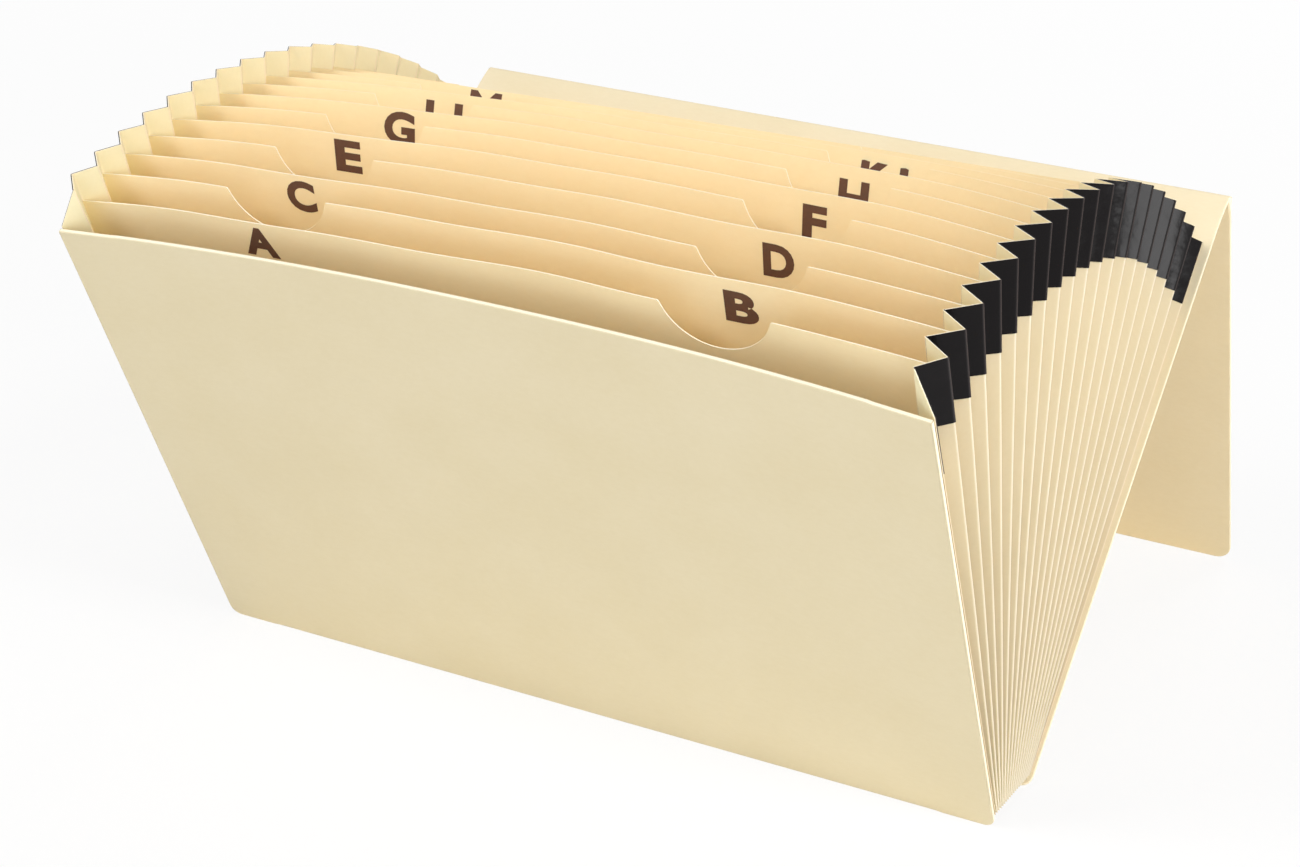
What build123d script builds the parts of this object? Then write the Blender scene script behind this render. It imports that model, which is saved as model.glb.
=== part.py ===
"""An expanding file of manila card, standing open like a fan.

Two board covers and a row of card dividers hinge at their feet along a narrow bottom strip.
Pleated paper sides join them, bound along the top with tape, and a flap hangs from the back cover.
+X runs along the covers, +Y to the back, +Z up, with the origin on the floor under the middle of the file.
"""

import math
import os

from build123d import *

# The fan, in millimetres and degrees from upright
file_width = 381.0
divider_count = 18
front_lean = -28.5
back_lean = 41.3
lean_gather = 10.3
hinge_height = 2.0
divider_pitch = 1.9
cover_pitch = 2.6

# Thickness of each material, and the room between pieces that move apart
cover_board = 2.0
divider_card = 0.4
pleat_paper = 0.2
tape_film = 0.15
tape_glue = 0.06
seam_gap = 0.3
slab_spare = 4.0

# Covers
cover_drop = 15.0
cover_corner = 5.0
cover_sag = 9.8
back_overhang = 4.5
back_bend_radius = 76.0
back_bend_angle = 18.0
back_bend_clear = 1.0

# The crease between the back cover and the flap, scored thin on both sides
crease_taper = 4.0
crease_card = 0.24
crease_gap = 0.45

# Flap
flap_lean = 23.4
flap_corner = 8.0

# Dividers, of which the rear ones sag less and less
divider_drop = 7.0
divider_sag = 9.0
sag_fade_count = 11
divider_clip_width = 16.0
divider_clip_height = 5.5
right_notch = 95.5
left_notch = -108.0
notch_mouth = 46.0
notch_floor = 28.0
notch_depth = 18.0
notch_floor_radius = 10.0
notch_shoulder_radius = 2.0

# Pleated sides
pleat_height = 261.0
pleat_foot = 6.0
pleat_facet = 13.6
pleat_valley_land = 0.45
pleat_end_land = 0.6
pleat_flange = 25.0
pleat_overrun = 14.0
tape_height = 32.0
tape_overrun = 30.0

# Bottom strip
strip_board = 1.5
strip_inset = 14.0
strip_setback = 1.0
strip_score_depth = 0.5
strip_score_width = 0.8

cover_height = pleat_height - cover_drop
divider_height = pleat_height - divider_drop
back_width = file_width + 2 * back_overhang
last_sheet = divider_count + 1
valley_share = 0.5


def foot(sheet):
    """Y of a sheet's crease: the front cover is sheet 0, the dividers follow, the back cover is last."""
    middle = last_sheet / 2
    spread = (sheet - middle) * divider_pitch
    if sheet <= 0:
        return spread - (cover_pitch - divider_pitch)
    if sheet >= last_sheet:
        return spread + (cover_pitch - divider_pitch)
    return spread


def lean(sheet):
    """Tilt of a sheet from upright in radians, towards the back where it is positive."""
    share = sheet / last_sheet
    even = back_lean - front_lean - lean_gather
    return math.radians(front_lean + even * share + lean_gather * share**2)


def fan_point(sheet, reach):
    """Y and Z of the point that lies a given reach up a sheet from its crease."""
    return (
        foot(sheet) + reach * math.sin(lean(sheet)),
        hinge_height + reach * math.cos(lean(sheet)),
    )


def sheet_plane(sheet):
    """A plane in the sheet, with its X along the file, its Y up the sheet and its Z to the front."""
    tilt = lean(sheet)
    return Plane(
        origin=(0, foot(sheet), hinge_height),
        x_dir=(1, 0, 0),
        z_dir=(0, -math.cos(tilt), math.sin(tilt)),
    )


def make_bottom_strip():
    """The strip that closes the pockets underneath, scored along the foot of every divider."""
    front = foot(0) + strip_setback
    back = foot(last_sheet) - strip_setback
    half_score = strip_score_width / 2
    profile = [(front, 0), (front, strip_board)]
    for sheet in range(1, last_sheet):
        profile.append((foot(sheet) - half_score, strip_board))
        profile.append((foot(sheet), strip_board - strip_score_depth))
        profile.append((foot(sheet) + half_score, strip_board))
    profile += [(back, strip_board), (back, 0)]
    section = Plane.YZ * make_face(Polyline(*profile, close=True))
    return extrude(section, file_width / 2 - strip_inset, both=True)


def cover_lower(sheet):
    """Where a cover's lower edge lies along the sheet, so that its outer corner stands on the floor."""
    tilt = abs(lean(sheet))
    return (cover_board * math.sin(tilt) - hinge_height) / math.cos(tilt)


def sag(sheet, reach, along=0.0):
    """How far a sheet sags to the back: most in the middle of its upper edge, and not at its sides."""
    if sheet == 0:
        top_sag = cover_sag * reach / cover_height
    else:
        top_sag = divider_sag * min(1, (last_sheet - sheet) / sag_fade_count) * reach / divider_height
    return top_sag * (1 - (2 * along / file_width) ** 2)


def sagging_slab(sheet, reaches, faces):
    """The space between two faces of a sagging sheet, ruled from one reach to another."""
    edge = file_width / 2
    wires = []
    for reach in reaches:
        depth = sag(sheet, reach)
        near, far = [ThreePointArc((-edge, reach, z), (0, reach, z - depth), (edge, reach, z)) for z in faces]
        sides = [Line(near @ end, far @ end) for end in (0, 1)]
        wires.append(sheet_plane(sheet) * Wire([near, sides[1], far, sides[0]]))
    return Solid.make_loft(wires, ruled=True)


def cut_sheet(sheet, outline, faces):
    """A sagging sheet of card or board, cut to a flat outline."""
    reaches = (-slab_spare, outline.bounding_box().max.Y + slab_spare)
    cutter = extrude(sheet_plane(sheet) * outline, cover_sag + slab_spare, both=True)
    return sagging_slab(sheet, reaches, faces) & cutter


def make_front_cover():
    """The front board, whose outer lower edge stands on the floor."""
    board = Pos(0, cover_lower(0) + cover_height / 2) * Rectangle(file_width, cover_height)
    low_corners = board.vertices().sort_by(Axis.Y)[:2]
    return cut_sheet(0, fillet(low_corners, cover_corner), (cover_board, 0))


def make_divider(sheet):
    """One card divider, with a round thumb notch that shows the letter on the divider behind it."""
    half_width = file_width / 2 - pleat_paper / 2 - seam_gap
    place = right_notch if sheet % 2 else left_notch
    floors = [(place + side * notch_floor / 2, divider_height - notch_depth) for side in (1, -1)]
    shoulders = [(place + side * notch_mouth / 2, divider_height) for side in (1, -1)]
    outline = [
        (-half_width, divider_height),
        (-half_width, divider_clip_height),
        (divider_clip_width - half_width, 0),
        (half_width - divider_clip_width, 0),
        (half_width, divider_clip_height),
        (half_width, divider_height),
        shoulders[0],
        *floors,
        shoulders[1],
    ]
    card = make_face(Polyline(*outline, close=True))
    for corners, radius in ((floors, notch_floor_radius), (shoulders, notch_shoulder_radius)):
        for corner in corners:
            card = fillet(card.vertices().sort_by_distance(corner)[0], radius)
    return cut_sheet(sheet, card, (divider_card / 2, -divider_card / 2))


# Profiles of the back cover and the flap: X runs along the board and Y to its rear face

back_plane = Plane(
    origin=(0, foot(last_sheet), hinge_height),
    x_dir=(0, math.sin(lean(last_sheet)), math.cos(lean(last_sheet))),
    z_dir=(-1, 0, 0),
)
bend_start = pleat_height + back_bend_clear
bend_turn = math.radians(back_bend_angle)


def bend_point(offset, beyond=0.0):
    """A point at the upper end of the back cover's bend, offset from its inner face, and beyond it."""
    radius = back_bend_radius - offset
    return (
        bend_start + radius * math.sin(bend_turn) + beyond * math.cos(bend_turn),
        back_bend_radius - radius * math.cos(bend_turn) + beyond * math.sin(bend_turn),
    )


def make_back_cover():
    """The back board, which bends back above the pleats and thins to the flap's crease."""
    lower = cover_lower(last_sheet)
    centre = (bend_start, back_bend_radius)
    downward = -90.0
    tips = [bend_point((cover_board + edge * crease_card) / 2, crease_taper) for edge in (-1, 1)]
    edges = [
        Line((lower, 0), (bend_start, 0)),
        CenterArc(centre, back_bend_radius, downward, back_bend_angle),
        Polyline(bend_point(0), tips[0], tips[1], bend_point(cover_board)),
        CenterArc(centre, back_bend_radius - cover_board, downward, back_bend_angle),
        Polyline((bend_start, cover_board), (lower, cover_board), (lower, 0)),
    ]
    board = extrude(back_plane * make_face(edges), back_width / 2, both=True)
    low_corners = board.edges().filter_by(Axis((0, 0, 0), back_plane.y_dir)).sort_by(Axis.Z)[:2]
    return fillet(low_corners, cover_corner)


crease = back_plane.from_local_coords(
    (*bend_point(cover_board / 2, crease_taper + crease_gap), 0)
)


def make_flap():
    """The flap, which hangs from the crease behind the file and stands on the floor."""
    tilt = math.radians(flap_lean)
    half_board = cover_board / 2
    half_crease = crease_card / 2
    length = (crease.Z - half_board * math.sin(tilt)) / math.cos(tilt)
    thick = crease_gap + crease_taper
    profile = [
        (crease_gap, -half_crease),
        (thick, -half_board),
        (length, -half_board),
        (length, half_board),
        (thick, half_board),
        (crease_gap, half_crease),
    ]
    plane = Plane(
        origin=(0, crease.Y, crease.Z),
        x_dir=(0, math.sin(tilt), -math.cos(tilt)),
        z_dir=(1, 0, 0),
    )
    board = extrude(plane * make_face(Polyline(*profile, close=True)), back_width / 2, both=True)
    low_corners = board.edges().filter_by(Axis((0, 0, 0), plane.y_dir)).sort_by(Axis.Z)[:2]
    return fillet(low_corners, flap_corner)


# Pleated sides: zigzags in level planes, lofted from one plane to the next and cut to the fan's arc


def level_y(sheet, height, offset=0.0):
    """Y where a sheet, or a face offset to its back, meets a level plane."""
    return foot(sheet) + (height - hinge_height) * math.tan(lean(sheet)) + offset / math.cos(lean(sheet))


def fold_offsets(sheet):
    """How far in front of a sheet and behind it the paper runs where it folds round the sheet's edge."""
    wrap = divider_card / 2 + seam_gap + pleat_paper / 2
    flange = seam_gap + pleat_paper / 2
    if sheet == 0:
        return flange, flange + pleat_end_land
    if sheet == last_sheet:
        return -flange - pleat_end_land, -flange
    return -wrap, wrap


def valley_depth(pocket, height):
    """How far the fold between two sheets lies inside the file's side, for facets of constant width."""
    middle = math.cos(lean(pocket + valley_share))
    start = level_y(pocket, height, fold_offsets(pocket)[1])
    end = level_y(pocket + 1, height, fold_offsets(pocket + 1)[0])
    run = ((end - start) * middle - pleat_valley_land) / 2
    return math.sqrt(pleat_facet**2 - run**2)


def pleat_line(height, flanges):
    """The zigzag of the right side's paper in a level plane, from the front cover to the back."""
    edge = file_width / 2
    line = []
    if flanges:
        inset = edge - pleat_flange
        behind = sag(0, (height - hinge_height) / math.cos(lean(0)), inset)
        line.append((inset, level_y(0, height, fold_offsets(0)[0] + behind)))
    for pocket in range(last_sheet):
        tilt = lean(pocket + valley_share)
        top = hinge_height + pleat_height * math.cos(tilt)
        low_depth = valley_depth(pocket, pleat_foot)
        rise_share = (height - pleat_foot) / (top - pleat_foot)
        depth = low_depth + (valley_depth(pocket, top) - low_depth) * rise_share
        front, back = fold_offsets(pocket)
        start = level_y(pocket, height, back)
        end = level_y(pocket + 1, height, fold_offsets(pocket + 1)[0])
        half_land = pleat_valley_land / 2 / math.cos(tilt)
        line.append((edge, level_y(pocket, height, front)))
        line.append((edge, start))
        line.append((edge - depth, (start + end) / 2 - half_land))
        line.append((edge - depth, (start + end) / 2 + half_land))
    line += [(edge, level_y(last_sheet, height, offset)) for offset in fold_offsets(last_sheet)]
    if flanges:
        line.append((inset, level_y(last_sheet, height, fold_offsets(last_sheet)[1])))
    return line


def shifted(line, offset):
    """The zigzag moved outwards by an offset, with mitred corners."""
    points = [Vector(*point) for point in line]
    runs = [(after - before).normalized() for before, after in zip(points, points[1:])]
    normals = [Vector(run.Y, -run.X) for run in runs]
    before_corners = [normals[0]] + normals
    after_corners = normals + [normals[-1]]
    moved = []
    for point, before, after in zip(points, before_corners, after_corners):
        mitre = (before + after) / (before.dot(after) + 1)
        moved.append(point + mitre * offset)
    return moved


def pleated_sheet(levels, inner, outer, flanges):
    """A pleated sheet between two offsets from the zigzag, ruled from each level plane to the next."""
    wires = []
    for height in levels:
        line = pleat_line(height, flanges)
        ring = shifted(line, inner) + shifted(line, outer)[::-1]
        wires.append(Wire.make_polygon([(point.X, point.Y, height) for point in ring]))
    return Solid.make_loft(wires, ruled=True)


def fan_prism(reach):
    """The space under the fan's arc, which drops to the front cover's upper edge in the first half pocket.

    It is one pocket wider than the file at both ends.
    """
    drop = pleat_height - cover_height - cover_lower(0)
    rise = [fan_point(-1, reach - drop), fan_point(0, reach - drop), fan_point(valley_share, reach)]
    arc = Spline(rise[-1], *[fan_point(sheet, reach) for sheet in range(1, last_sheet + 2)])
    ground = Polyline(arc @ 1, (foot(last_sheet + 1), 0), (foot(-1), 0), *rise)
    return extrude(Plane.YZ * make_face([arc, ground]), file_width)


tape_level = fan_point(last_sheet, pleat_height - tape_height)[1] - tape_overrun
top_level = hinge_height + pleat_height + pleat_overrun


def make_pleats():
    """The right side's pleated paper, with a flange against each cover."""
    half_paper = pleat_paper / 2
    sheet = pleated_sheet((pleat_foot, tape_level, top_level), -half_paper, half_paper, True)
    return sheet & fan_prism(pleat_height)


def make_tape():
    """The tape along the outside of the right side's upper edge."""
    inner = pleat_paper / 2 + tape_glue
    sheet = pleated_sheet((tape_level, top_level), inner, inner + tape_film, False)
    return sheet & fan_prism(pleat_height) - fan_prism(pleat_height - tape_height)


# Every piece under its own name

pieces = {
    "bottom_strip": make_bottom_strip(),
    "front_cover": make_front_cover(),
    "back_cover": make_back_cover(),
    "flap": make_flap(),
    "gusset_right": make_pleats(),
    "tape_right": make_tape(),
}
for sheet in range(1, last_sheet):
    pieces[f"divider_{sheet:02d}"] = make_divider(sheet)
for name in ("gusset", "tape"):
    pieces[f"{name}_left"] = mirror(pieces[f"{name}_right"], about=Plane.YZ)

os.makedirs("parts", exist_ok=True)
for name, piece in pieces.items():
    export_step(piece, f"parts/{name}.step")
    print(f"{name}: {len(piece.solids())} solid, {piece.volume / 1000:.1f} cm3")
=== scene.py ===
# %% [markdown]
# # An expanding file of manila card
#
# The CAD model gives every sheet its place. This lesson dresses it: boards that bow, cards that
# sag and ripple, paper sides that fold in pleats, and printed letters. Lengths are in millimetres,
# as on a ruler, and turn into Blender's metres only where a mesh is made.

# %% Load the frame
import math

import bmesh
import bpy
import numpy as np
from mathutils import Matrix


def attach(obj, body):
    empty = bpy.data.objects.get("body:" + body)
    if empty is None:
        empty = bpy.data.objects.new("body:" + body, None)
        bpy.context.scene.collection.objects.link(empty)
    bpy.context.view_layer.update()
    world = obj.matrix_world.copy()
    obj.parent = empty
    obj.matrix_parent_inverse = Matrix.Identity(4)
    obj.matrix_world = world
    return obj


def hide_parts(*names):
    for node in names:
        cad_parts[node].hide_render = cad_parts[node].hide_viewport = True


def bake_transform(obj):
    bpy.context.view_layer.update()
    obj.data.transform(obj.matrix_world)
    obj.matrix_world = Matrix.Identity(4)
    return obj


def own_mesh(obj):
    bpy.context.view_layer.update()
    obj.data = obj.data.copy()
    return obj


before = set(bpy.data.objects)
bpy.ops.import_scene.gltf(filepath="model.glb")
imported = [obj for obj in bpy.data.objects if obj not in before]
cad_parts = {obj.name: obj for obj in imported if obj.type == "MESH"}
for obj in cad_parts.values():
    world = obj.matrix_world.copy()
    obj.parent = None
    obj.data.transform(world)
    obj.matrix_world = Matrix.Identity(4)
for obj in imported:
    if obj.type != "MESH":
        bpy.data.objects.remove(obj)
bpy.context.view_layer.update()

mm = 0.001

# %% [markdown]
# ## The camera
#
# The camera comes first, so that every later piece can be compared with the photograph. It could
# be placed by eye, but its lens and place were found by matching the pleats' tips and the cover's
# corners, so that a wrong shape can't hide behind a wrong view.

# %% Camera
camera = bpy.data.objects.new("camera", bpy.data.cameras.new("camera"))
bpy.context.scene.collection.objects.link(camera)
camera.data.sensor_fit = "HORIZONTAL"
camera.data.sensor_width = 36.0
camera.data.lens = 75.44
camera.location = (0.49693, -0.97270, 0.55157)
camera.rotation_euler = [math.radians(angle) for angle in (68.701, -2.664, 27.482)]
bpy.context.scene.camera = camera
print("camera at", [round(value, 3) for value in camera.location], "lens", camera.data.lens)

# %% [markdown]
# ## Shader maths as Python
#
# A material is a small program. Wiring Math nodes by hand hides what it says, so one class wraps a
# socket and lets ordinary operators add the nodes: `1 - fold * 0.3` becomes two of them.

# %% A socket that takes operators
class Flow:
    """A socket in a node tree. Arithmetic on it adds Math nodes."""

    def __init__(self, tree, socket=None):
        self.tree, self.socket = tree, socket

    def node(self, kind, settings=(), sockets=(), out=0):
        """Add a node: its settings first, then the values or links of its sockets."""
        made = self.tree.nodes.new("ShaderNode" + kind)
        for name, value in dict(settings).items():
            setattr(made, name, value)
        for name, value in dict(sockets).items():
            if isinstance(value, Flow):
                self.tree.links.new(value.socket, made.inputs[name])
            else:
                made.inputs[name].default_value = value
        return Flow(self.tree, made.outputs[out])

    def math(self, operation, first, second):
        return self.node("Math", {"operation": operation}, {0: first, 1: second})

    def __add__(self, other):
        return self.math("ADD", self, other)

    def __mul__(self, other):
        return self.math("MULTIPLY", self, other)

    def __sub__(self, other):
        return self.math("SUBTRACT", self, other)

    def __rsub__(self, other):
        return self.math("SUBTRACT", other, self)

    def __pow__(self, other):
        return self.math("POWER", self, other)

    __radd__, __rmul__ = __add__, __mul__

    def mix(self, low, high):
        """Blend two colours by this value."""
        return self.node("Mix", {"data_type": "RGBA"}, {0: self, 6: low, 7: high}, out=2)


print("a socket takes + - * and **")

# %% Colours and materials
def linear(red, green, blue):
    """A colour as a picture shows it, turned into the light that Blender works with."""
    shares = [value / 255 for value in (red, green, blue)]
    return (*[v / 12.92 if v <= 0.04045 else ((v + 0.055) / 1.055) ** 2.4 for v in shares], 1.0)


def new_material(name):
    """A material, its tree as a Flow, and a way to wire its Principled shader's sockets."""
    made = bpy.data.materials.new(name)
    made.use_nodes = True
    shader = made.node_tree.nodes["Principled BSDF"]

    def wire(sockets):
        for socket, value in sockets.items():
            if isinstance(value, Flow):
                made.node_tree.links.new(value.socket, shader.inputs[socket])
            else:
                shader.inputs[socket].default_value = value

    return made, Flow(made.node_tree), wire


def lay_over(tree, share, other):
    """Mix another shader over the Principled one by a share."""
    surface = tree.tree.nodes["Material Output"].inputs["Surface"]
    principled = Flow(tree.tree, surface.links[0].from_socket)
    mixed = tree.node("MixShader", sockets={0: share, 1: principled, 2: other})
    tree.tree.links.new(mixed.socket, surface)


print("half grey is", round(linear(128, 128, 128)[0], 3), "of full light")

# %% [markdown]
# ## Manila paper
#
# Manila is unbleached pulp: a buff colour with a faint cloudiness, short fibres that catch the
# light, and a dull surface. One recipe makes every board, card and paper of the file. Each takes
# its own colour, and a fold attribute lightens the creases, partly for wear from handling and
# partly as a painted highlight where the fold crests catch the light. The cards and the pleats are
# thin enough for light to come through, warmer than it went in, so they mix in a translucent
# shader. Light scattered under the surface could do that too, but it needs many more samples, and a
# sheet half a millimetre thick has no depth to show.

# %% Manila recipe
light_through = linear(255, 206, 112)
dull_pulp, bright_pulp = (0.97, 0.96, 0.92), (1.015, 1.02, 1.03)


def manila(name, colour, wear_and_highlight, fibre_depth, glow=0.0):
    """Pulp with folds lightened by wear and by a painted highlight, and fibres of a depth in
    metres. Glow is the light let through.
    """
    made, tree, wire = new_material(name)
    place = tree.node("TexCoord", out=3)
    clouds = tree.node("TexNoise", sockets={"Vector": place, "Scale": 22.0, "Detail": 4.0})
    stretched = tree.node("Mapping", sockets={"Vector": place, "Scale": (260.0, 900.0, 420.0)})
    fibres = tree.node("TexNoise", sockets={
        "Vector": stretched, "Scale": 1.0, "Detail": 5.0, "Roughness": 0.65})
    grain = tree.node("TexNoise", sockets={"Vector": place, "Scale": 1800.0, "Detail": 2.0})
    darker = (*[value * share for value, share in zip(colour, dull_pulp)], 1.0)
    lighter = (*[min(1.0, value * share) for value, share in zip(colour, bright_pulp)], 1.0)
    tone = clouds * 0.55 + fibres * 0.45
    shade = tree.node("MapRange", sockets={0: tone, 1: 0.32, 2: 0.68})
    # Along the creases the fold attribute mixes in a paler colour: wear from handling, and a
    # painted highlight on the fold crests.
    fold = tree.node("Attribute", {"attribute_name": "fold"}, out=2)
    wire({
        "Base Color": (fold**2.0).mix(shade.mix(darker, lighter), wear_and_highlight),
        "Roughness": 0.74 + fibres * 0.16,
        "Specular IOR Level": 0.28,
        "Normal": tree.node("Bump", sockets={
            "Strength": 0.5, "Distance": fibre_depth, "Height": fibres * 0.7 + grain * 0.3}),
    })
    if glow:
        lay_over(tree, glow, tree.node("BsdfTranslucent", sockets={"Color": light_through}))
    return made


print("manila recipe ready")

# %% Manila finishes
# Paler colours for the creases: wear from handling, and a painted highlight where the fold crests
# catch the light.
edge_wear_and_highlight, fold_wear_and_highlight = linear(250, 232, 200), linear(255, 246, 226)
board_finish = manila("manila_board", linear(217, 205, 174), edge_wear_and_highlight, 0.00012)
# The back board's colour is lighter than the front board's: painted light, for the light that
# reaches its inner face and the flap.
painted_lighter_board_finish = manila("manila_board_painted_lighter", linear(241, 227, 194), edge_wear_and_highlight, 0.00012)
card_finish = manila("manila_card", linear(254, 246, 206), edge_wear_and_highlight, 0.00007, glow=0.17)
paper_finish = manila("pleat_paper", linear(224, 212, 179), fold_wear_and_highlight, 0.00006, glow=0.14)
edge_finish = manila("cut_edge", linear(252, 242, 218), edge_wear_and_highlight, 0.00005)
manilas = (board_finish, painted_lighter_board_finish, card_finish, paper_finish, edge_finish)
print("manila finishes:", [made.name for made in manilas])

# %% [markdown]
# ## Binding tape and ink
#
# The tape along the pleats is a glossy black film. It is nearly a mirror at a shallow angle, it
# ripples a little where it was pressed on by hand, and its folds are rubbed grey. Streaks could be
# painted on, but a rippled gloss makes its own and moves them as the file turns. The letters are
# flat brown printing ink, a little uneven.

# %% Tape and ink finishes
def binding_tape():
    made, tree, wire = new_material("binding_tape")
    place = tree.node("TexCoord", out=3)
    ripple = tree.node("TexNoise", sockets={"Vector": place, "Scale": 95.0, "Detail": 3.0})
    smear = tree.node("TexNoise", sockets={"Vector": place, "Scale": 240.0, "Detail": 4.0})
    fold = tree.node("Attribute", {"attribute_name": "fold"}, out=2)
    wire({
        "Base Color": (fold**3.0).mix(linear(11, 7, 8), linear(70, 60, 57)),
        "Roughness": 0.14 + smear * 0.1,
        "Specular IOR Level": 0.15,
        "Normal": tree.node("Bump", sockets={
            "Strength": 0.35, "Distance": 0.0008, "Height": ripple}),
    })
    return made


def printing_ink():
    made, tree, wire = new_material("printing_ink")
    place = tree.node("TexCoord", out=3)
    mottle = tree.node("TexNoise", sockets={"Vector": place, "Scale": 700.0, "Detail": 3.0})
    wire({
        "Base Color": mottle.mix(linear(84, 54, 40), linear(104, 72, 54)),
        "Roughness": 0.62 + mottle * 0.2,
    })
    return made


tape_finish, ink_finish = binding_tape(), printing_ink()
print("finishes:", tape_finish.name, "and", ink_finish.name)

# %% [markdown]
# ## The fan
#
# Twenty sheets hinge at their feet: sheet 0 is the front cover, 1 to 18 are the dividers and 19 is
# the back cover. Each has a foot, a lean, and a plane of its own. A point is given by the place
# along the file, the reach up the sheet, and the distance out of its plane towards the back.
# Turning each finished mesh into place would do as well, but with these functions a pleat can ask
# where both of its neighbours are.

# %% Sheets of the fan
half_width = 190.5
last = 19
foot_spacing, cover_margin = 1.9, 0.7
front_lean, even_lean, gathered_lean = -28.5, 59.5, 10.3
hinge_height = 2.0
board = 2.0


def foot(sheet):
    """The front-to-back place of a sheet's crease; the covers stand a little further out."""
    spread = (sheet - last / 2) * foot_spacing
    return spread + cover_margin * ((sheet >= last) - (sheet <= 0))


def lean(sheet):
    """A sheet's angle from upright, leaning to the back; the rear ones spread wider."""
    share = sheet / last
    return math.radians(front_lean + even_lean * share + gathered_lean * share**2)


def on_sheet(sheet, along, reach, out=0.0):
    """Points on a sheet, or behind it by the given distance, as an array with X, Y and Z last."""
    values = [np.asarray(value, float) for value in (along, reach, out)]
    along, reach, out = np.broadcast_arrays(*values)
    tilt = lean(sheet)
    return np.stack([
        along,
        foot(sheet) + reach * math.sin(tilt) + out * math.cos(tilt),
        hinge_height + reach * math.cos(tilt) - out * math.sin(tilt),
    ], axis=-1)


def cover_lower(sheet):
    """The reach at which a cover's lower edge stands on the floor."""
    tilt = abs(lean(sheet))
    return (board * math.sin(tilt) - hinge_height) / math.cos(tilt)


print("leans in degrees:", [round(math.degrees(lean(sheet)), 1) for sheet in range(last + 1)])

# %% [markdown]
# ## How the sheets sag
#
# Card hung by its two sides bends backwards under its own weight. A cloth simulation could find
# the shape, but card is stiff and the photograph shows the result, so the sag is written down: its
# depth for a few sheets along the fan, one curve across the sheet, and a slight ripple on top.

# %% Sag
cover_height, divider_height, pleat_height = 246.0, 254.0, 261.0
sag_sheets = (0, 0.5, 1, 3, 5, 7, 9, 11, 14, last)
sag_depths = (9.8, 9.8, 8.4, 8.9, 16.3, 20.8, 25.7, 25.2, 19.0, 0)
cover_curve, card_curve, rise_curve = 2.2, 3, 1.15


def sag_depth(sheet):
    """The sag in the middle of a sheet: the cards lie back the most half way along the fan."""
    return np.interp(sheet, sag_sheets, sag_depths)


def bow(sheet, along, reach):
    """How far a sheet sags: nothing where its sides are held, most along its upper edge."""
    along, reach = np.asarray(along, float), np.asarray(reach, float)
    span = along / half_width
    rise = np.clip(reach / divider_height, 0.0, 1.0)
    is_cover = sheet in (0, last)
    curve = 1 - np.abs(span) ** (cover_curve if is_cover else card_curve)
    sag = sag_depth(sheet) * curve * rise**rise_curve
    if is_cover:
        return sag
    phase = 0.22 * sheet
    ripple = 0.8 * np.sin(7.0 * span + 1.1 + phase) + 0.5 * np.sin(13.0 * span + 0.4 - phase)
    return sag + ripple * (1 - span**4) * rise**3


print("sag in mm:", [round(float(sag_depth(sheet)), 1) for sheet in range(last + 1)])

# %% [markdown]
# ## From a grid of points to a sheet of card
#
# Paper and board have two faces and a cut edge. A grid of points on the middle of the sheet is
# moved to both sides by half the thickness and closed round its rim, so each piece is a real solid
# that also looks right from behind. A Solidify modifier could thicken it too, but here each face
# is known as outer, rim or inner, so that a cut edge can show pale and stay crisp.

# %% Closed sheets
OUTER, RIM, INNER = range(3)


def normals_of(grid):
    """The direction out of a grid at each of its points."""
    across = np.gradient(grid, axis=1)
    upward = np.gradient(grid, axis=0)
    normal = np.cross(across, upward)
    return normal / np.linalg.norm(normal, axis=-1, keepdims=True)


def closed_sheet(grid, thickness):
    """Points and faces of a grid thickened to both sides, and each face's kind."""
    rows, columns = grid.shape[:2]
    shift = normals_of(grid) * thickness / 2
    points = np.concatenate([(grid + shift).reshape(-1, 3), (grid - shift).reshape(-1, 3)])
    index = np.arange(rows * columns).reshape(rows, columns)
    back = index + rows * columns
    faces, kinds = [], []
    for row in range(rows - 1):
        for column in range(columns - 1):
            near = [index[row, column], index[row, column + 1],
                    index[row + 1, column + 1], index[row + 1, column]]
            faces += [near, [corner + rows * columns for corner in reversed(near)]]
            kinds += [OUTER, INNER]
    loop = [(0, c) for c in range(columns)]
    loop += [(r, columns - 1) for r in range(1, rows)]
    loop += [(rows - 1, c) for c in range(columns - 2, -1, -1)]
    loop += [(r, 0) for r in range(rows - 2, 0, -1)]
    for here, there in zip(loop, loop[1:] + loop[:1]):
        faces.append([index[there], index[here], back[here], back[there]])
        kinds.append(RIM)
    return points, [[int(corner) for corner in face] for face in faces], kinds


print("kinds of face: outer", OUTER, "rim", RIM, "inner", INNER)

# %% Pieces from sheets
def make_piece(name, parts, finishes, folds=None):
    """One object from several sheets. The finishes are for its outer, rim and inner faces."""
    points, faces, kinds = [], [], []
    for part_points, part_faces, part_kinds in parts:
        before = sum(map(len, points))
        faces += [[corner + before for corner in face] for face in part_faces]
        points.append(part_points)
        kinds += part_kinds
    mesh = bpy.data.meshes.new(name)
    mesh.from_pydata((np.concatenate(points) * mm).tolist(), [], faces)
    for finish in finishes:
        mesh.materials.append(finish)
    slots = [kind if kind < len(finishes) else OUTER for kind in kinds]
    mesh.polygons.foreach_set("material_index", slots)
    mesh.polygons.foreach_set("use_smooth", [kind != RIM for kind in kinds])
    crisp = {tuple(sorted(pair)) for face, kind in zip(faces, kinds) if kind == RIM
             for pair in zip(face, face[1:] + face[:1])}
    sharp = [tuple(sorted(edge.vertices)) in crisp for edge in mesh.edges]
    mesh.edges.foreach_set("use_edge_sharp", sharp)
    values = np.zeros(len(mesh.vertices)) if folds is None else np.concatenate(folds)
    fold = mesh.attributes.new("fold", "FLOAT", "POINT")
    fold.data.foreach_set("value", values.astype(np.float32))
    made = bpy.data.objects.new(name, mesh)
    bpy.context.scene.collection.objects.link(made)
    return made


print("pieces take up to three finishes")

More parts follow.
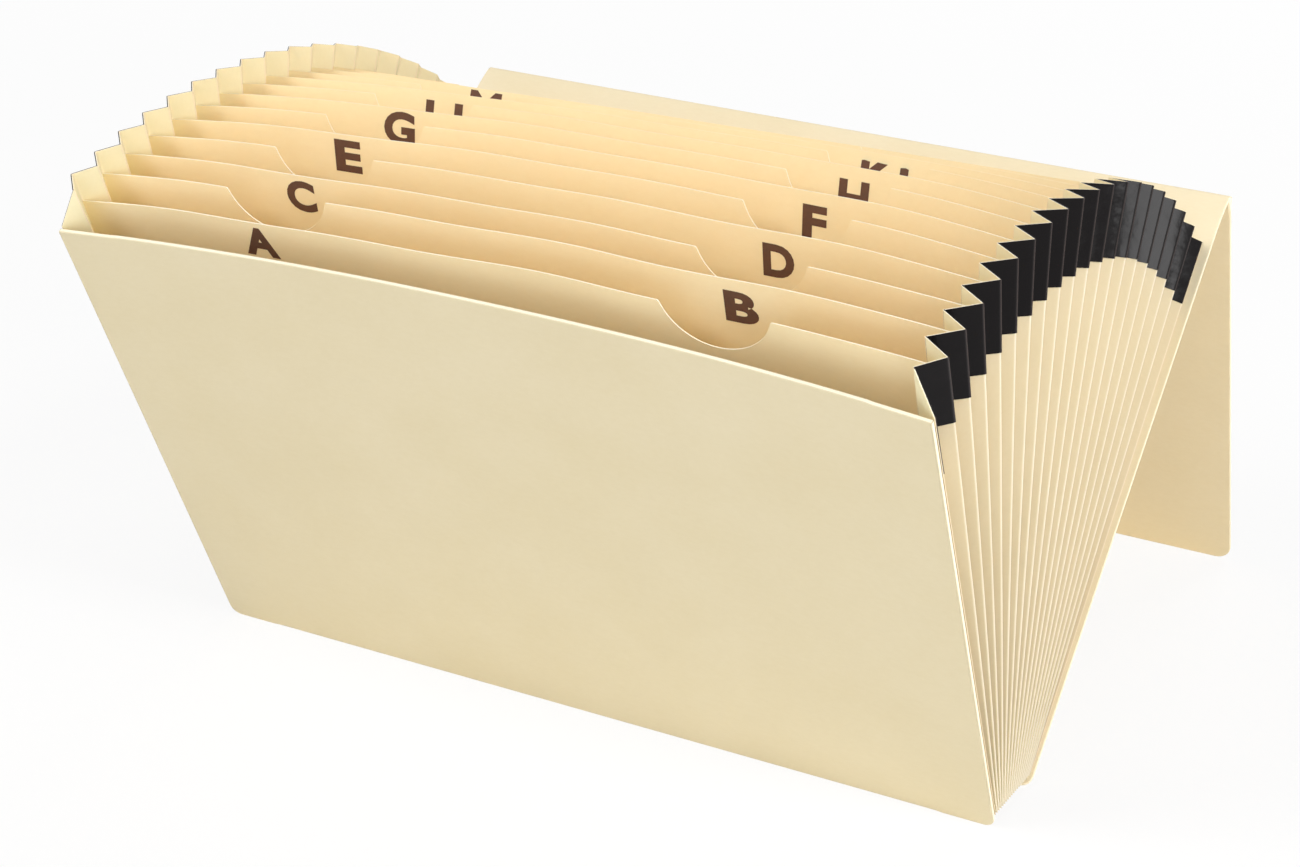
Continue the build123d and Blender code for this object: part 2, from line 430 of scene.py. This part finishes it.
# %% [markdown]
# ## The front cover
#
# The front cover is thick board, and damp has bowed it: the middle of its upper edge sags towards
# the back by almost a centimetre. The flanges of the paper sides, glued inside it, show through
# as a faint ridge a finger's breadth from each side. A bent box could give the bow, but a grid
# whose columns crowd at the sides also holds the ridge and the rounded lower corners.

# %% Rounded corners and edges
board_edge, square_angle = 0.35, 1.0


def corner_rise(along, width, radius):
    """How far a rounded lower corner lifts the edge of a board near its sides."""
    inset = np.clip(radius - (width - np.abs(along)), 0, radius)
    return radius - np.sqrt(radius**2 - inset**2)


def soften_rim(piece, width):
    """Round the edges between a board's faces and its rim, as cutting and handling do."""
    work = bmesh.new()
    work.from_mesh(piece.data)
    square = [edge for edge in work.edges
              if len(edge.link_faces) == 2 and edge.calc_face_angle() > square_angle]
    bmesh.ops.bevel(work, geom=square, offset=width * mm, segments=2, profile=0.5,
                    affect="EDGES")
    work.to_mesh(piece.data)
    work.free()


print("board edges rounded by", board_edge, "mm")

# %% Front cover
lower_corner = 5.0
ridge_height, ridge_place, ridge_width = 0.28, 165.5, 0.7
cover_sides = np.array([190.5, 190.2, 189.6, 188.8, 187.6, 186.4, 185.5,
                        180.0, 172.0, 167.0, 165.5, 164.0, 160.0])
cover_along = np.concatenate([-cover_sides, np.linspace(-150, 150, 41), cover_sides[::-1]])
low = cover_lower(0) + corner_rise(cover_along, half_width, lower_corner)
reach = low + (cover_lower(0) + cover_height - low) * np.linspace(0, 1, 40)[:, None]
flange_ridge = ridge_height / (1 + np.exp(-(np.abs(cover_along) - ridge_place) / ridge_width))
grid = on_sheet(0, np.broadcast_to(cover_along, reach.shape), reach,
                bow(0, cover_along, reach) - board / 2 - flange_ridge)
front_board = make_piece("front_board", [closed_sheet(grid, board)], (board_finish, edge_finish))
soften_rim(front_board, board_edge)
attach(front_board, "front_cover")
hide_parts("front_cover")
print("front board:", len(front_board.data.polygons), "faces, bowed",
      bow(0, 0, cover_height).round(1), "mm")

# %% [markdown]
# ## Dividers
#
# A divider is thin card with a round thumb notch, cut so that the letter on the next divider shows.
# A boolean cut could make the notch, but as a dip in the card's upper edge it needs no hole: every
# column of points runs from the foot to wherever the edge is, and columns crowd where the scoop is
# steep. The cards were glued in a little askew, and the first one lower.

# %% Upper edges
notch_mouth, notch_depth, notch_softness = 46.0, 18.0, 1.4
notch_radius = (notch_mouth**2 / 4 + notch_depth**2) / (2 * notch_depth)
askew, first_card_lower = 3.65, 3.0


def notch_place(sheet):
    return 95.5 if sheet % 2 else -108.0


def card_top(sheet, along):
    """The upper edge of a divider without its notch."""
    return divider_height + askew * along / half_width - (first_card_lower if sheet == 1 else 0.0)


def notch_edge(sheet, along):
    """The height of a divider's upper edge, dipping in a round scoop with soft shoulders."""
    distance = np.minimum(np.abs(along - notch_place(sheet)), notch_radius)
    scoop = notch_radius - notch_depth - np.sqrt(notch_radius**2 - distance**2)
    return card_top(sheet, along) + 0.5 * (scoop - np.sqrt(scoop**2 + notch_softness))


def divider_columns(sheet):
    """Places along a divider: even across it, but by the scoop's angle within the notch."""
    scoop = notch_radius * np.sin(np.linspace(-math.pi / 2, math.pi / 2, 57))
    near = notch_place(sheet) + np.concatenate([[-27.0, -25.2], scoop, [25.2, 27.0]])
    wide = np.linspace(-190.1, 190.1, 61)
    return np.sort(np.concatenate([near, wide[np.abs(wide - notch_place(sheet)) > 29]]))


print("notches:", notch_mouth, "mm wide, radius", round(notch_radius, 1), "mm")

# %% [markdown]
# ## Room in the closed file
#
# A sagging card is too deep for a closed file. The real one is pressed flat by its neighbours. A
# bone in each card could bend it, or it could be flattened along its own normal as the back cover
# folds. Here only the room each card has is worked out, and a card short of room gets a mesh of
# its own.

# %% Room to press
closed_sag, closed_sag_step, least_keep = 7.7, 1.2, 0.2


def press(piece):
    """Give a piece a mesh of its own."""
    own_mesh(piece)


def flatten(piece, sheet):
    """Work out how much of a card's sag the closed file has room for, and give the card, or what is
    printed on it, a mesh of its own where the room is short.
    """
    room = closed_sag - closed_sag_step * (sheet - 1)
    keep = max(least_keep, room / sag_depth(sheet))
    if keep < 1.0:
        press(piece)


print("the first card keeps", closed_sag, "mm of its sag in the closed file")

# %% Dividers
card_thickness = 0.5
clipped_from, clip_width, clip_height = 174.1, 16.0, 5.5


def spaced(low, high, count, crowd=1.0):
    """Numbers from low to high, crowded towards high where crowd is under one."""
    return low + (high - low) * np.linspace(0, 1, count) ** crowd


for sheet in range(1, last):
    along = divider_columns(sheet)
    clip = np.clip((np.abs(along) - clipped_from) / clip_width, 0, 1) * clip_height
    reach = clip + (notch_edge(sheet, along) - clip) * spaced(0, 1, 26, 0.7)[:, None]
    grid = on_sheet(sheet, np.broadcast_to(along, reach.shape), reach, bow(sheet, along, reach))
    body = f"divider_{sheet:02d}"
    card = make_piece(f"card_{sheet:02d}", [closed_sheet(grid, card_thickness)],
                      (card_finish, edge_finish))
    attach(card, body)
    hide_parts(body)
    flatten(card, sheet)
print("dividers:", last - 1, "of", len(card.data.polygons), "faces each")

# %% [markdown]
# ## Letters
#
# A plain alphabet is printed on the dividers, to the left on odd ones and to the right on even
# ones, and the last letters on the inside of the back cover. A heavy typeface could be loaded, but
# the file must stand alone, so Blender's own light one is swollen, and each letter is laid on the
# card's own curve. Those that can be read in the photograph are set one by one.

# %% Letters as meshes
labels = "A B C D E F G H IJ KL M NO PQ R S T UV W XYZ".split()
letter_size, letter_swell, ink_depth = 18.8, 0.8, 0.02


def letter_mesh(text):
    """Heavy letters as a flat mesh in millimetres, centred along their line."""
    curve = bpy.data.curves.new("letter", "FONT")
    curve.body, curve.size, curve.align_x = text, letter_size, "CENTER"
    curve.offset, curve.extrude, curve.resolution_u = letter_swell, ink_depth, 5
    curve.space_character = 1.8 if text == "IJ" else 1.4
    flat = bpy.data.objects.new("letter", curve)
    mesh = bpy.data.meshes.new_from_object(flat)
    bpy.data.objects.remove(flat)
    return mesh


print("letters:", " ".join(labels))

# %% Letters on the cards
letter_left, letter_right = -108.8, (97.4, 94.6)
ink_lift = 0.06
# A letter's stretch, its shift along the card and its drop below the card's edge.
plain_setting = (1.12, 0.0, 3.2)
letter_settings = {
    "A": (1.05, 0.6, 2.4), "B": (1.34, 0.0, 5.3), "C": (1.03, 0.9, 2.4), "D": (0.98, 0.7, 5.5),
    "E": (1.38, -1.2, 2.4), "F": (1.24, -0.5, 5.5), "G": (1.1, 1.4, 1.2), "H": (1.08, 0.0, 5.5),
    "IJ": (1.12, 0.0, 4.0), "KL": (1.12, 0.0, 2.6), "M": (1.12, 0.0, 1.0),
}
for sheet, text in enumerate(labels, start=1):
    mesh = letter_mesh(text)
    mesh.name = f"letter_{text}"
    points = np.array([vertex.co for vertex in mesh.vertices])
    points[:, 1] -= points[:, 1].max()
    stretch, shift, drop = letter_settings.get(text, plain_setting)
    middle = shift + (letter_left if sheet % 2 else np.interp(sheet, (2, 6), letter_right))
    along = points[:, 0] * stretch + middle
    reach = card_top(sheet, middle) - drop + points[:, 1]
    face = ink_lift + (0.0 if sheet == last else card_thickness / 2)
    place = on_sheet(sheet, along, reach, bow(sheet, along, reach) - face - points[:, 2])
    mesh.vertices.foreach_set("co", (place * mm).astype(np.float32).ravel())
    mesh.materials.clear()
    mesh.materials.append(ink_finish)
    letter = bpy.data.objects.new(f"letter_{text}", mesh)
    bpy.context.scene.collection.objects.link(letter)
    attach(letter, "back_cover" if sheet == last else f"divider_{sheet:02d}")
    if sheet < last:
        flatten(letter, sheet)
print("printed:", len(labels), "labels")

# %% [markdown]
# ## Pleated sides
#
# The sides are one long strip of paper folded like a fan: out at every sheet and in between. A
# single strip could be drawn in one go, but it could not close. Here each sheet has its own pair of
# facets, from the inner fold before it, round its edge, to the inner fold after it. The tape
# repeats the upper end of the same folds, a little further out.

# %% Folds of the pleats
pleat_foot = 6.0
facet = {1: 14.4, -1: 10.9}
cover_seam = 0.5
first_pocket_ease = 2.4
crease_width = 0.8


def outer_fold(sheet, side, share):
    """Points up the outer fold at a sheet's edge."""
    low = (pleat_foot - hinge_height) / math.cos(lean(sheet))
    high = cover_lower(0) + cover_height if sheet == 0 else pleat_height
    gap = {0: cover_seam, last: -cover_seam}.get(sheet, 0.0)
    return on_sheet(sheet, side * half_width, low + (high - low) * share, gap)


def inner_fold(pocket, side, share):
    """Points up the inner fold between two sheets, at a depth that keeps the facets' width."""
    low = (pleat_foot - hinge_height) / math.cos(lean(pocket + 0.5))
    reach = low + (pleat_height - low) * share
    start, end = on_sheet(pocket, 0, reach), on_sheet(pocket + 1, 0, reach)
    half_gap = np.linalg.norm(end - start, axis=-1) / 2
    depth = np.sqrt(facet[side] ** 2 - half_gap**2)
    if (pocket, side) == (0, 1):
        depth = depth - first_pocket_ease * share
    points = (start + end) / 2
    points[..., 0] = side * (half_width - depth)
    return points


def facet_columns(start, end):
    """Columns across one facet, close together at both folds."""
    width = np.linalg.norm(end - start, axis=-1).mean()
    crease = crease_width / width
    return [start + (end - start) * place for place in (0, crease, 0.35, 0.65, 1 - crease, 1)]


def pleat_grid(sheet, side, share):
    """Columns of a sheet's two facets, and how much each column is a fold."""
    edge = outer_fold(sheet, side, share)
    columns, folds = [], []
    if sheet > 0:
        columns += facet_columns(inner_fold(sheet - 1, side, share), edge)
        folds += [1, 0, 0, 0, 0, 1]
    if sheet < last:
        after = facet_columns(edge, inner_fold(sheet, side, share))
        columns += after[1:] if sheet > 0 else after
        folds += [0, 0, 0, 0, 1] if sheet > 0 else [1, 0, 0, 0, 0, 1]
    return np.stack(columns, axis=1), np.array(folds, float)


print("facet widths in mm:", facet)

# %% Pleats and tape
tape_height = 32.0
paper_thickness, tape_thickness = 0.3, 0.36
covers = {0: "front_cover", last: "back_cover"}
paper_rows = np.linspace(0, 1, 18)
tape_rows = np.linspace(1 - tape_height / pleat_height, 1, 7)
for sheet in range(last + 1):
    papers, tapes, paper_folds, tape_folds = [], [], [], []
    for side in (1, -1):
        grid, folds = pleat_grid(sheet, side, paper_rows)
        papers.append(closed_sheet(grid[:, ::side], paper_thickness))
        paper_folds.append(np.tile(folds[::side], 2 * len(paper_rows)))
        grid, folds = pleat_grid(sheet, side, tape_rows)
        grid = grid[:, ::side]
        tapes.append(closed_sheet(grid + normals_of(grid) * tape_thickness, tape_thickness))
        tape_folds.append(np.tile(folds[::side], 2 * len(tape_rows)))
    # The pleat paper's inner faces take the card's lighter, yellower colour: painted light, for the
    # light that bounces between the sheets inside the pockets.
    pleat = make_piece(f"pleat_{sheet:02d}", papers,
                       (paper_finish, edge_finish, card_finish), paper_folds)
    tape = make_piece(f"tape_{sheet:02d}", tapes, (tape_finish, tape_finish), tape_folds)
    for piece, node, slot in ((pleat, "gusset", "pleat_paper"), (tape, "tape", "tape")):
        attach(piece, covers.get(sheet, f"divider_{sheet:02d}"))
        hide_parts(f"{node}_right", f"{node}_left")
        press(piece)
print("pleats and tapes:", 2 * (last + 1), "pieces")

# %% [markdown]
# ## Back cover and flap
#
# The back cover and the flap are one board. It rises behind the pleats, a little wider towards the
# top, bends back above them and turns over a scored crease, then hangs to the floor. Two boards
# could meet at the crease, but a gap would open there. Drawing it as one line and giving it a width
# keeps the crease whole.

# %% Line of the back board
bend_start, bend_radius, bend_turn = 262.0, 76.0, math.radians(18.0)
crease = np.array([214.302, 215.432])
crease_radius = 2.6
flap_tilt = math.radians(23.4)


def unit(vector):
    return vector / np.linalg.norm(vector)


def back_line():
    """Y and Z along the middle of the board, from the back cover's foot to the flap's end."""
    straight = spaced(cover_lower(last), bend_start, 30)
    line = [on_sheet(last, 0, straight, board / 2)[:, 1:]]
    turn = np.linspace(0, bend_turn, 12)[1:]
    radius = bend_radius - board / 2
    line.append(on_sheet(last, 0, bend_start + radius * np.sin(turn),
                         bend_radius - radius * np.cos(turn))[:, 1:])
    rise = lean(last) + bend_turn
    towards = np.array([math.sin(rise), math.cos(rise)])
    away = np.array([math.sin(flap_tilt), -math.cos(flap_tilt)])
    half_turn = (math.pi - rise - flap_tilt) / 2
    centre = crease + unit(away - towards) * crease_radius / math.cos(half_turn)
    swing = np.linspace(-half_turn, half_turn, 9)[:, None]
    outward = unit(crease - centre)
    side = np.array([outward[1], -outward[0]])
    line.append(centre + crease_radius * (np.cos(swing) * outward + np.sin(swing) * side))
    length = (crease[1] - board / 2 * math.sin(flap_tilt)) / math.cos(flap_tilt)
    hanging = spaced(crease_radius * math.tan(half_turn), length, 28)[1:, None]
    line.append(crease + hanging * away)
    return np.concatenate(line)


line = back_line()
run = np.concatenate([[0], np.cumsum(np.linalg.norm(np.diff(line, axis=0), axis=1))])
print("back board:", round(run[-1]), "mm from foot to end")

# %% Back board
back_half, back_foot_half = 195.0, 191.5
flap_corner = 8.0
back_sides = np.array([195.0, 194.6, 193.8, 192.4, 190.6, 188.7, 187.0])
back_along = np.concatenate([-back_sides, np.linspace(-180, 180, 41), back_sides[::-1]])
low = corner_rise(back_along, back_half, lower_corner)
high = run[-1] - corner_rise(back_along, back_half, flap_corner)
along_run = low + (high - low) * (run / run[-1])[:, None]
narrowing = np.interp(along_run, (0, bend_start), (back_foot_half / back_half, 1.0))
grid = np.stack([
    back_along * narrowing,
    np.interp(along_run, run, line[:, 0]),
    np.interp(along_run, run, line[:, 1]),
], axis=-1)
# The back board takes the lighter board colour, painted light on its inner face and flap.
back_board = make_piece("back_board", [closed_sheet(grid, board)], (painted_lighter_board_finish, edge_finish))
soften_rim(back_board, board_edge)
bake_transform(back_board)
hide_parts("back_cover", "flap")
print("back board:", len(back_board.data.polygons), "faces")

# %% [markdown]
# ## Bottom strip
#
# The strip under the pockets is hidden while the file stands. It could be drawn again, but it is
# right as the CAD made it, so it only takes the paper's finish.

# %% Bottom strip
strip_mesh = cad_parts["bottom_strip"].data
strip_mesh.materials.clear()
strip_mesh.materials.append(paper_finish)
print("bottom strip:", len(strip_mesh.polygons), "faces in", paper_finish.name)

# %% [markdown]
# ## Floor and light
#
# The photograph is a plain studio picture: a white ground, one large soft light from the upper
# left, and pale surroundings that fill the shadows. The floor is a white sheet that still takes
# the file's shadow and fades into the white world further off, so no horizon shows. A picture of a
# studio could light it all, but lamps can be moved one at a time: five weaker ones stand for the
# surroundings and keep the pleats, the tape and the back readable. Light goes from card to card
# many times before it leaves a pocket, and turns orange on the way, so more bounces are allowed
# than usual.

# %% Floor
floor_half = 6.0
shadow_share, shadow_from, shadow_to = 0.14, 0.6, 2.2
white = (1.0, 1.0, 1.0, 1.0)


def shown_white(tree):
    """One where the camera sees a surface, straight, in a gloss or through glass."""
    rays = [tree.node("LightPath", out=f"Is {kind} Ray")
            for kind in ("Camera", "Glossy", "Transmission")]
    return tree.math("MINIMUM", rays[0] + rays[1] + rays[2], 1.0)


corners = [(-1, -1), (1, -1), (1, 1), (-1, 1)]
floor_mesh = bpy.data.meshes.new("floor")
floor_mesh.from_pydata([(x * floor_half, y * floor_half, 0) for x, y in corners], [],
                       [(0, 1, 2, 3)])
floor = bpy.data.objects.new("floor", floor_mesh)
bpy.context.scene.collection.objects.link(floor)
floor_finish, tree, wire = new_material("studio_floor")
wire({"Base Color": (0.93, 0.93, 0.93, 1.0), "Roughness": 0.9})
distance = tree.node("VectorMath", {"operation": "LENGTH"}, {0: tree.node("TexCoord", out=3)}, 1)
far = tree.node("MapRange", sockets={0: distance, 1: shadow_from, 2: shadow_to})
lay_over(tree, shown_white(tree) * (1 - (1 - far) * shadow_share),
         tree.node("Emission", sockets={"Color": white, "Strength": 1.0}))
floor_mesh.materials.append(floor_finish)
print("floor:", 2 * floor_half, "m wide")

# %% World
fill_light = 0.18
world = bpy.data.worlds.new("studio")
bpy.context.scene.world = world
world.use_nodes = True
backdrop = world.node_tree.nodes["Background"]
backdrop.inputs["Color"].default_value = white
strength = 1 - (1 - shown_white(Flow(world.node_tree))) * (1 - fill_light)
world.node_tree.links.new(strength.socket, backdrop.inputs["Strength"])
print("world: white to the camera,", fill_light, "as light")

# %% Lamps
lamp_aim = np.array([0.0, 0.0, 0.15])


def soft_lamp(name, place, size, watts):
    """A square soft light that faces the file."""
    lamp = bpy.data.objects.new(name, bpy.data.lights.new(name, "AREA"))
    lamp.data.size, lamp.data.energy = size, watts
    lamp.location = place
    x, y, z = lamp_aim - np.array(place)
    lamp.rotation_euler = (math.atan2(math.hypot(x, y), -z), 0, math.atan2(-x, y))
    bpy.context.scene.collection.objects.link(lamp)


lamps = {
    "key": ((-1.25, -1.9, 2.0), 1.2, 47),
    "low_front": ((0.2, -2.4, 0.5), 1.4, 7),
    "low_right": ((1.9, -1.7, 0.4), 1.2, 11),
    "right": ((2.1, -0.35, 0.75), 0.9, 20),
    "high_right": ((1.58, -0.89, 2.04), 0.4, 17),
    "behind": ((0.3, 2.2, 1.8), 1.6, 24),
}
for name, (place, size, watts) in lamps.items():
    soft_lamp(name, place, size, watts)
bpy.context.scene.view_settings.view_transform = "Standard"
bpy.context.scene.cycles.diffuse_bounces = 10
print("lamps:", ", ".join(lamps))
